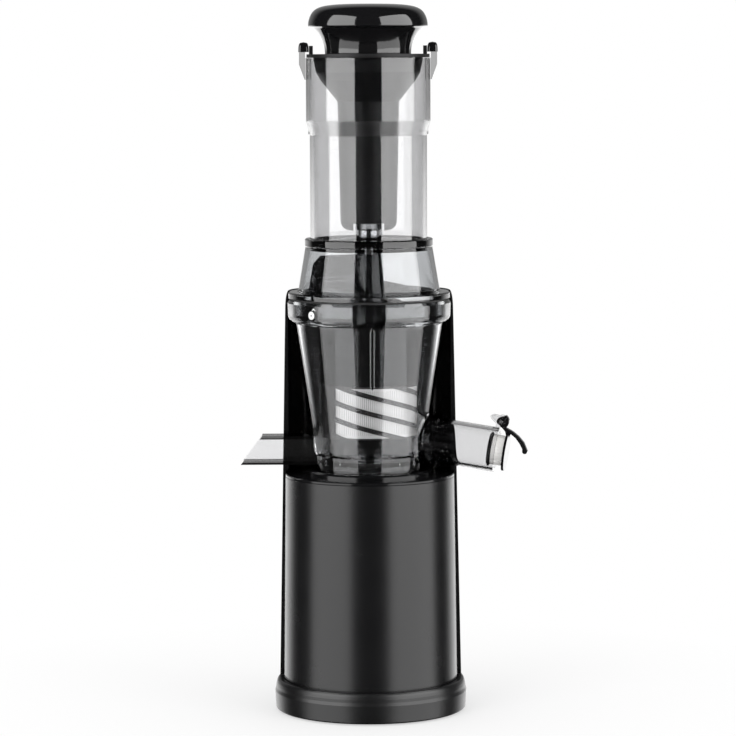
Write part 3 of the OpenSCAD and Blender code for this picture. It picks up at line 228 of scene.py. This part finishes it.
smoke_tint = (0.76, 0.77, 0.78)
smoke = clear_plastic("smoke_clear", smoke_tint, slant=0.35, from_facing=0.4)
wear(smoke, "bowl")
wear(soft_rubber, "bowl_seal")
wear(ferrite, "bowl_magnet")


# ---------- pulp chute and juice spout ----------
# The square chute on the left lets the dry pulp out, and the round spout on the right the juice.
# Both are moulded in clear copolyester without the smoke tint and welded to the bowl's wall. The
# chute's floor and roof are solid across its whole width and look dark; that dark look is painted
# shade.


def within(tree, axis, low, high):
    """One where the place on the axis lies between low and high, and nothing elsewhere."""
    place = put(tree, "SeparateXYZ", {"Vector": put(tree, "TexCoord", gives="Object")}, axis)
    return put(tree, "Math", {0: place, 1: (low + high) / 2, 2: (high - low) / 2},
               operation="COMPARE")


def shade_thick_wall(mat, axis, low, high, tint):
    """Painted shade: a grey tint between two places on an axis, where the plastic is thick and
    looks dark.
    """
    overlay(mat, within(mat.node_tree, axis, low, high), (tint, tint, tint))


def heights(name):
    """The lowest and the highest height of a CAD node."""
    return [corner[2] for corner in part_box(name)]


chute_clear = clear_plastic("chute_clear", (0.95, 0.95, 0.955), ripple=0.004, slant=0.8,
                            from_facing=0.7)
chute_low, chute_high = heights("pulp_chute")
floor_h, roof_h, past, edge_shade_grey = 0.0012, 0.0014, 0.001, 0.03
# Painted shade darkens the floor and the roof, which look dark edge-on.
shade_thick_wall(chute_clear, "Z", chute_low - past, chute_low + floor_h, edge_shade_grey)
shade_thick_wall(chute_clear, "Z", chute_high - roof_h, chute_high + past, edge_shade_grey)
wear(chute_clear, "pulp_chute")
wear(clear_plastic("crystal_clear", (0.90, 0.90, 0.905), slant=0.85, from_facing=0.6),
     "juice_spout")


# ---------- strainer ----------
# A dark translucent frame with slanting ribs, moulded in smoked copolyester, drops into the bowl.
# Inside the ribs sits a sleeve of pale stainless sheet, etched with fine upright slots, rolled
# round and welded.
wear(clear_plastic("dark_clear", (0.27, 0.26, 0.26), rough=0.05), "strainer_frame")


def settle(name, points, faces, mat, body, slot, *stands_for):
    """Puts a piece's points and faces into a mesh, joins what meets in a pole or seam, and gives
    it its finish, its body and the CAD nodes that it stands for."""
    mesh = bpy.data.meshes.new(name)
    mesh.from_pydata(np.asarray(points).tolist(), [], [list(map(int, face)) for face in faces])
    work = bmesh.new()
    work.from_mesh(mesh)
    bmesh.ops.remove_doubles(work, verts=work.verts, dist=1e-7)
    bmesh.ops.recalc_face_normals(work, faces=work.faces)
    work.to_mesh(mesh)
    work.free()
    mesh.polygons.foreach_set("use_smooth", np.ones(len(mesh.polygons), bool))
    mesh.set_sharp_from_angle(angle=math.radians(40))
    mesh.materials.append(mat)
    obj = bpy.data.objects.new(name, mesh)
    bpy.context.collection.objects.link(obj)
    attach(obj, body)
    if stands_for:
        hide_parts(*stands_for)


def grid_quads(rows, columns, rows_close=False, columns_close=True):
    """The quads of a grid of points that is given row by row. Where the rows or the columns
    close, the last of them joins the first."""
    i, j = np.meshgrid(np.arange(rows if rows_close else rows - 1),
                       np.arange(columns if columns_close else columns - 1), indexing="ij")
    k, m = (j + 1) % columns, (i + 1) % rows
    return np.stack([i * columns + j, i * columns + k, m * columns + k, m * columns + j],
                    -1).reshape(-1, 4)


def turned(profile, steps=176):
    """Lathe work: a profile point (r, z), carried round by the angle a, stands at
    (r cos a, r sin a, z). Returns the points, and a quad for each step of profile and angle."""
    line = np.asarray(profile, float)
    a = 2 * np.pi * np.arange(steps) / steps
    points = np.stack([line[:, :1] * np.cos(a), line[:, :1] * np.sin(a),
                       np.repeat(line[:, 1:], steps, 1)], -1)
    return points.reshape(-1, 3), grid_quads(len(line), steps)


def slotted_steel(name, slots, low, high):
    """Pale brushed stainless with a dark line for each of the slots between two heights. The angle
    round the axis, counted in slots, is folded back and forth between nothing and a half, and a
    line shows where it is small."""
    mat = moulded(name, (0.98, 0.955, 0.94), 0.42, metal=0.4, grain=0.1, grain_size=0.0005,
                  shade=0.04)
    tree = mat.node_tree
    where = put(tree, "TexCoord", gives="Object")
    x, y = [put(tree, "SeparateXYZ", {"Vector": where}, axis) for axis in "XY"]
    turn = put(tree, "Math", {0: y, 1: x}, operation="ARCTAN2")
    count = put(tree, "Math", {0: turn, 1: slots / (2 * math.pi)}, operation="MULTIPLY")
    fold = put(tree, "Math", {0: count, 1: 0.5}, operation="PINGPONG")
    line = put(tree, "MapRange", {"Value": fold, "From Min": 0.12, "From Max": 0.2,
                                  "To Min": 1.0, "To Max": 0.0})
    overlay(mat, put(tree, "Math", {0: within(tree, "Z", low, high), 1: line},
                     operation="MULTIPLY"), (0.55, 0.53, 0.52))
    return mat


sleeve_low, sleeve_high = heights("strainer_mesh")
sleeve_r, sheet, plain_edge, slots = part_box("strainer_mesh")[1][0], 0.0006, 0.0025, 146
sleeve_in_r = sleeve_r - sheet
sleeve_steel = slotted_steel("slotted_sleeve", slots, sleeve_low + plain_edge,
                             sleeve_high - plain_edge)
settle("strainer_sleeve", *turned([(sleeve_in_r, sleeve_low), (sleeve_r, sleeve_low),
                                   (sleeve_r, sleeve_high), (sleeve_in_r, sleeve_high),
                                   (sleeve_in_r, sleeve_low)], steps=2 * slots),
       sleeve_steel, "bowl_set", "mesh_steel", "strainer_mesh")


# ---------- marks on the bowl ----------
# A slim rib of the bowl's own plastic stands down its front, under the collar. On the collar,
# left of the front, a white ring and a small arrow are pad-printed in raised ink where the lid
# comes to rest.


def front_rib(at, half_wide, proud, low, high, low_r, high_r, rows=40, columns=13):
    """A half-round rib on a cone: its section is (half_wide cos t, proud sin t) for t from 0 to
    pi, laid a hair outside the cone, whose radius grows evenly from low_r to high_r with the
    height. Width and depth shrink over the last 2 mm at each end."""
    t = np.linspace(0, np.pi, columns)
    side, out = half_wide * np.cos(t), 0.00003 + proud * np.sin(t)
    z = np.linspace(low, high, rows)[:, None]
    fade = np.minimum(1, np.minimum(z - low, high - z) / 0.002 + 0.15)
    radius = low_r + (high_r - low_r) * (z - low) / (high - low) + out * fade
    turn = math.radians(at) + side / high_r * fade
    points = np.stack([radius * np.cos(turn), radius * np.sin(turn),
                       np.broadcast_to(z, radius.shape)], -1)
    last = rows * columns - 1
    ends = [list(range(columns)), list(range(last, last - columns, -1))]
    return points.reshape(-1, 3), grid_quads(rows, columns).tolist() + ends


settle("bowl_rib", *front_rib(at=-87.6, half_wide=0.0015, proud=0.0006, low=0.1858,
                              high=0.2205, low_r=0.03735, high_r=0.04196),
       smoke, "bowl_set", "smoke_plastic")


def printed(at, high, collar_r, steps=40):
    """A ring and an arrow of raised ink, both given in (u, v, thickness) and wrapped round the
    collar: a point stands at the angle at + u / collar_r and the height high + v, its thickness
    and a hair outside the collar. The ring's section is carried round a circle; the arrow is a
    strip of four edges along three corners."""
    a = 2 * np.pi * np.arange(steps) / steps
    section = np.array([(0.0005, 0.0), (0.0006, 0.00015), (0.0021, 0.00015), (0.0023, 0.0)])
    ring = np.stack([section[:, :1] * np.cos(a), section[:, :1] * np.sin(a),
                     np.repeat(section[:, 1:], steps, 1)], -1).reshape(-1, 3)
    outer = np.array([(0.0006, 0.0030), (0.0019, 0.0042), (0.0031, 0.0029)])
    inner = outer + np.array([(0.0003, -0.0003), (0.0, -0.0006), (-0.0003, -0.0003)])
    strip = np.concatenate([np.c_[edge, np.full(3, thick)] for edge, thick in
                            ((outer, 0.0), (outer, 0.00012), (inner, 0.00012), (inner, 0.0))])
    first = len(ring)
    faces = (grid_quads(4, steps, rows_close=True).tolist()
             + (grid_quads(4, 3, rows_close=True, columns_close=False) + first).tolist()
             + [[first + corner for corner in end] for end in ((0, 3, 6, 9), (11, 8, 5, 2))])
    u, v, thick = np.vstack([ring, strip]).T
    turn, radius = math.radians(at) + u / collar_r, collar_r + 0.00002 + thick
    return np.stack([radius * np.cos(turn), radius * np.sin(turn), high + v], -1), faces


white_ink = moulded("white_ink", (0.85, 0.85, 0.84), 0.4, grain=0.1, grain_size=0.0003)
settle("lock_mark", *printed(at=-134.2, high=0.2273, collar_r=0.0462), white_ink,
       "bowl_set", "gear_nylon")


# ---------- auger ----------
# The screw that presses the fruit: black food-safe plastic, smooth, moulded round a steel socket
# that takes the output shaft's hexagon. A ground steel pin on top turns in the lid's bridge.
auger_black = moulded("auger_black", (0.010, 0.010, 0.011), 0.18, grain=0.05, grain_size=0.001)
wear(auger_black, "auger")
wear(ground_steel, "auger_socket", "auger_pin")


# ---------- drip cap ----------
# The lever cap that closes the spout: gloss black ABS moulded round a pale plug, with a rubber
# lip seal in the plug's groove. It hangs on a steel pin between the spout's two ears.


def two_shot(name, seat, along, pale_from, pale_to, reach):
    """Gloss black with a pale plug moulded in: pale where the way along the cap's axis from its
    seat lies between two lengths, and nearer to that axis than reach."""
    mat = moulded(name, **black_gloss)
    tree = mat.node_tree
    arm = put(tree, "VectorMath", {0: put(tree, "TexCoord", gives="Object"), 1: seat},
              operation="SUBTRACT")
    run = put(tree, "VectorMath", {0: arm, 1: along}, "Value", operation="DOT_PRODUCT")
    cross = put(tree, "VectorMath", {0: arm, 1: along}, operation="CROSS_PRODUCT")
    off = put(tree, "VectorMath", {0: cross}, "Value", operation="LENGTH")
    inside = put(tree, "Math", {0: run, 1: (pale_from + pale_to) / 2,
                                2: (pale_to - pale_from) / 2}, operation="COMPARE")
    near = put(tree, "Math", {0: off, 1: reach}, operation="LESS_THAN")
    overlay(mat, put(tree, "Math", {0: inside, 1: near}, operation="MULTIPLY"),
            (0.78, 0.77, 0.75))
    return mat


# The cap's seat is the spout's mouth, and its axis is the spout's, which leaves the bowl at
# root_r and root_z, turned to the front by yaw and tipped down by dip.
yaw, dip = math.radians(-10), math.radians(8.5)
root_r, root_z, spout_l = 0.0345, 0.1551, 0.0388
spout_axis = Vector((math.cos(dip) * math.cos(yaw), math.cos(dip) * math.sin(yaw),
                     -math.sin(dip)))
spout_mouth = Vector((root_r * math.cos(yaw), root_r * math.sin(yaw), root_z)) \
    + spout_l * spout_axis
wear(two_shot("cap_two_shot", spout_mouth, spout_axis, pale_from=-0.0024, pale_to=0.0043,
              reach=0.0092), "drip_cap")
wear(soft_rubber, "drip_cap_seal")
wear(ground_steel, "drip_cap_pin")


# ---------- lid and hopper ----------
# The smoke lid turns on the bowl's collar over a rubber seal, and the clear feed tube is pressed
# into its neck. Both are moulded in copolyester. The tube has a rubber stop on each side, and an
# ear on each side of its mouth.
lid_smoke = clear_plastic("lid_smoke", smoke_tint, slant=0.35, from_facing=0.4)
# Painted shade: a near-black band darkens the lid's neck where the tube's foot sits in it.
neck_shade_low, neck_shade_high = 0.2644, 0.2691
shade_thick_wall(lid_smoke, "Z", neck_shade_low, neck_shade_high, 0.03)
wear(lid_smoke, "lid")
wear(soft_rubber, "lid_seal", "hopper_stops")


def matt_band(mat, low, high, rough):
    """Between two heights the mould's steel is left matt, and the plastic with it."""
    tree, skin = mat.node_tree, mat.node_tree.nodes["Principled BSDF"]
    own = skin.inputs["Roughness"].links[0].from_socket
    feed(tree, skin, {"Roughness": put(tree, "Mix", {"Factor": within(tree, "Z", low, high),
                                                     "A": own, "B": rough})})


hopper_clear = clear_plastic("water_clear", (0.77, 0.77, 0.775), slant=0.6, from_facing=0.72)
# Only the ears stand out further than ear_from. The shoulder is where the tube gets wider.
ear_from, ear_to = 0.0351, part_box("hopper")[1][0] + 0.001
shoulder_low, shoulder_high = 0.3266, 0.3349
# Painted shade greys the solid ears, which look darker than the thin wall.
shade_thick_wall(hopper_clear, "X", ear_from, ear_to, 0.45)
shade_thick_wall(hopper_clear, "X", -ear_to, -ear_from, 0.45)
matt_band(hopper_clear, shoulder_low, shoulder_high, 0.16)
wear(hopper_clear, "hopper")


# ---------- pusher and knob ----------
# The pusher's shaft, bell and flange are one moulding in satin black ABS, hollow from below. The
# knob is a second moulding in gloss black with a waisted neck and a domed top, pressed on.
satin_black = moulded("satin_black", (0.004, 0.004, 0.0045), 0.45, grain=0.1,
                      grain_size=0.0006, gloss=1.35)
wear(satin_black, "pusher")


def cut_corners(line, rounds=2):
    """Corner cutting: each stretch of the line keeps the points at a quarter and three quarters
    of it, so that corners turn round. The two end points stay."""
    line = np.asarray(line, float)
    for _ in range(rounds):
        inner = np.stack([0.75 * line[:-1] + 0.25 * line[1:],
                          0.25 * line[:-1] + 0.75 * line[1:]], 1)
        line = np.vstack([line[:1], inner.reshape(-1, 2), line[-1:]])
    return line


# The neck's outline is in millimetres from its foot, and the crown's from the knob's widest
# radius at the height where its lip begins.
knob_low, knob_top = heights("pusher_knob")
knob_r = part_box("pusher_knob")[1][0]
neck_foot = np.array([knob_r - 0.0094, knob_low + 0.0018])
neck = neck_foot + 0.001 * np.array([(0, 0), (0.1, 3), (0.7, 6.2), (1.9, 9.2), (3.5, 11.8),
                                     (5.2, 13.5), (6.6, 14.5)])
lip = np.array([knob_r, knob_top - 0.013])
crown = lip + 0.001 * np.array([
    (-1, 0.1), (-0.1, 0.4), (0, 1.4), (-0.2, 3.4), (-0.9, 5.8), (-1.9, 7.8), (-3.4, 9.6),
    (-5.8, 11), (-9.2, 12), (-15, 12.7), (-23, 13), (-1000 * knob_r, 13)])
shank_r = neck_foot[0] - 0.0026
profile = np.vstack([[(0.0, knob_low), (shank_r, knob_low), (shank_r, neck_foot[1])],
                     cut_corners(np.vstack([neck, crown[:1]])), cut_corners(crown)])
settle("knob", *turned(profile), gloss_black, "pusher_set", "black_plastic", "pusher_knob")


# ---------- ear caps ----------
# A small cap of gloss black ABS with soft corners sits on each ear of the hopper's mouth. Each is
# moulded on its own and snapped over the ear from above, as the last pieces of the lid.


def pillow(centre, half, low, high, side_power=5.0, top_power=3.5, rings=14, steps=48):
    """A block with soft corners: each level is a superellipse (x to a high power plus y to the
    same is one), and its size falls to nothing over the top along a superellipse of the
    height."""
    a = 2 * np.pi * np.arange(steps) / steps
    shape = np.stack([np.sign(part) * np.abs(part) ** (2 / side_power)
                      for part in (np.cos(a), np.sin(a))], -1)
    v = np.linspace(0, 1, rings)
    swell = np.concatenate([[0.0, 1.0], (1 - v ** top_power) ** (1 / top_power)])
    rise = np.concatenate([[low, low], low + (high - low) * v])
    flat = shape[None] * swell[:, None, None] * np.asarray(half) + np.asarray(centre)
    points = np.concatenate([flat, np.broadcast_to(rise[:, None, None], (rings + 2, steps, 1))],
                            -1)
    return points.reshape(-1, 3), grid_quads(rings + 2, steps)


cap_out, _, cap_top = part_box("ear_caps")[1]
cap_half, cap_h = (0.0029, 0.0050), 0.0056
(left, left_faces), (right, right_faces) = [
    pillow((side * (cap_out - cap_half[0]), 0.0), cap_half, cap_top - cap_h, cap_top)
    for side in (-1, 1)]
settle("ear_tips", np.vstack([left, right]), np.vstack([left_faces, right_faces + len(left)]),
       gloss_black, "lid_set", "black_plastic", "ear_caps")


# ---------- floor ----------
# A plain pale sweep that the juicer stands on. Near the base it takes the object's shadow, and
# further out it passes into the white of the room.


def in_gloss(tree):
    """One for a ray that has met gloss on its way, and nothing for one that hasn't."""
    return put(tree, "Math", {0: put(tree, "LightPath", gives="Glossy Depth"), 1: 0.5},
               operation="GREATER_THAN")


def pale_floor(reach=1.5, rings=24, steps=96):
    """A disc: radius and angle are the two parameters of a polar grid, whose rings grow with the
    square of their number. Triangles close it at the middle."""
    radius = reach * (np.arange(rings + 1) / rings) ** 2
    angle = 2 * np.pi * np.arange(steps) / steps
    grid = np.stack([np.outer(radius, np.cos(angle)), np.outer(radius, np.sin(angle)),
                     np.zeros((rings + 1, steps))], -1).reshape(-1, 3)
    rim = steps + np.arange(steps)
    hub = np.stack([rim, steps + (np.arange(steps) + 1) % steps, np.zeros(steps, int)], -1)
    quads = grid_quads(rings + 1, steps)[steps:, ::-1]
    mesh = bpy.data.meshes.new("floor")
    mesh.from_pydata(grid.tolist(), [], quads.tolist() + hub.tolist())
    obj = bpy.data.objects.new("floor", mesh)
    bpy.context.collection.objects.link(obj)
    mat, tree, skin = new_finish("floor_paper")
    feed(tree, skin, {"Base Color": (0.86, 0.86, 0.86, 1), "Roughness": 0.6})
    # Seen straight or through clear plastic the paper shows its own white, less so in the
    # shadow near the base.
    away = put(tree, "VectorMath", {0: put(tree, "TexCoord", gives="Object")}, "Value",
               operation="LENGTH")
    fade = put(tree, "MapRange", {"Value": away, "From Min": 0.06, "From Max": 0.30,
                                  "To Min": 0.55})
    straight, through = [put(tree, "LightPath", gives="Is %s Ray" % kind)
                         for kind in ("Camera", "Transmission")]
    seen = put(tree, "Math", {0: straight, 1: through}, operation="MAXIMUM")
    white = put(tree, "MixShader", {
        0: put(tree, "Math", {0: seen, 1: fade}, operation="MULTIPLY"),
        1: skin.outputs["BSDF"], 2: put(tree, "Emission", {"Strength": 1.0})})
    # Gloss looks through the floor to the foot of the soft boxes, as on a table of clear glass.
    feed(tree, tree.nodes["Material Output"], {"Surface": put(
        tree, "MixShader", {0: in_gloss(tree), 1: white, 2: put(tree, "BsdfTransparent")})})
    mesh.materials.append(mat)


pale_floor()


# ---------- light ----------
# Two tall soft boxes stand at the front, left and right, and show in gloss and through clear
# plastic, each with a dimmer foot. Two fill lamps light what is matt. The room gives a plain,
# even light, white behind the object and dim before it.


def area_lamp(name, place, turn, size, energy):
    """A lamp with its place, its turn and its width and height, which the camera doesn't see."""
    lamp = bpy.data.lights.new(name, "AREA")
    lamp.shape = "RECTANGLE"
    lamp.size, lamp.size_y = size
    lamp.energy = energy
    obj = bpy.data.objects.new(name, lamp)
    bpy.context.collection.objects.link(obj)
    obj.location, obj.rotation_euler = place, turn
    obj.visible_camera = False
    return obj


def soft_box(name, near, far, low, high, radiance, reach=1.2):
    """An upright panel that spans the angles near to far, in degrees from the front (left is
    negative), and the heights low to high. It stands on a circle round the object and is turned
    to face it."""
    turn, spread = math.radians((near + far) / 2), math.radians(abs(far - near) / 2)
    wide, tall = 2 * reach * math.tan(spread), high - low
    box = area_lamp(name, (reach * math.sin(turn), -reach * math.cos(turn), (low + high) / 2),
                    (math.pi / 2, 0, turn), (wide, tall), radiance * math.pi * wide * tall)
    box.visible_diffuse = False


box_foot, box_waist, box_top = -1.0, 0.14, 1.47
soft_box("soft_box_left", -25, -84, box_waist, box_top, radiance=4.2)
soft_box("soft_box_right", 25, 94, box_waist, box_top, radiance=4.2)
soft_box("soft_box_left_foot", -25, -84, box_foot, box_waist, radiance=2.0)
soft_box("soft_box_right_foot", 25, 94, box_foot, box_waist, radiance=2.2)


def fill_lamp(name, place, level, size=0.9, aim=0.15):
    """A broad lamp for the matt surfaces and the floor's shadow, which doesn't show in gloss. It
    looks at the height aim on the axis, and its energy is the level there times the area of a
    sphere whose radius is the way to it."""
    away = Vector(place) - Vector((0, 0, aim))
    fill = area_lamp(name, place, (-away).to_track_quat("-Z", "Y").to_euler(), (size, size),
                     4 * math.pi * level * away.length_squared)
    fill.visible_glossy = fill.visible_transmission = False


fill_lamp("fill_left", (-1.0, -1.3, 1.5), 0.2)
fill_lamp("fill_right", (1.2, -1.0, 1.3), 0.15)

# Seen straight and in what is matt, the room is white. In gloss it is white low down behind the
# object, dimmer higher up and nearly black in front and far below.
world = bpy.data.worlds.new("room")
bpy.context.scene.world = world
world.use_nodes = True
tree = world.node_tree
y, z = [put(tree, "SeparateXYZ", {"Vector": put(tree, "TexCoord", gives="Generated")}, axis)
        for axis in "YZ"]
behind = put(tree, "MapRange", {"Value": y, "From Min": 0.55, "From Max": 0.80,
                                "To Min": 0.035})
height = put(tree, "MapRange", {"Value": z, "From Min": -0.10, "From Max": -0.01,
                                "To Min": 1.7, "To Max": 0.35})
under = put(tree, "MapRange", {"Value": z, "From Min": -0.52, "From Max": -0.42,
                               "To Min": 0.03})
upright = put(tree, "Math", {0: height, 1: under}, operation="MULTIPLY")
shown = put(tree, "Math", {0: behind, 1: upright}, operation="MULTIPLY")
feed(tree, tree.nodes["Background"], {
    "Color": (1, 1, 1, 1),
    "Strength": put(tree, "Mix", {"Factor": in_gloss(tree), "A": 1.0, "B": shown})})


# ---------- camera ----------
# A long lens from the front, at the height of the hopper's mouth, tipped down by pitch and
# turned by roll. Its length is lens_px in points of a render that is render_px points wide.
render_px, lens_px, film = 736, 3220.0, 36.0
pitch, roll = math.radians(5.38), math.radians(-0.26)
lens = bpy.data.cameras.new("camera")
lens.sensor_width = film
lens.lens = film * lens_px / render_px
lens.clip_start, lens.clip_end = 0.05, 20
camera = bpy.data.objects.new("camera", lens)
bpy.context.collection.objects.link(camera)
camera.location = (-0.0008, -1.817, 0.366)
camera.rotation_euler = (Matrix.Rotation(math.pi / 2 - pitch, 3, "X")
                         @ Matrix.Rotation(roll, 3, "Z")).to_euler()
bpy.context.scene.camera = camera
bpy.context.scene.view_settings.view_transform = "Standard"
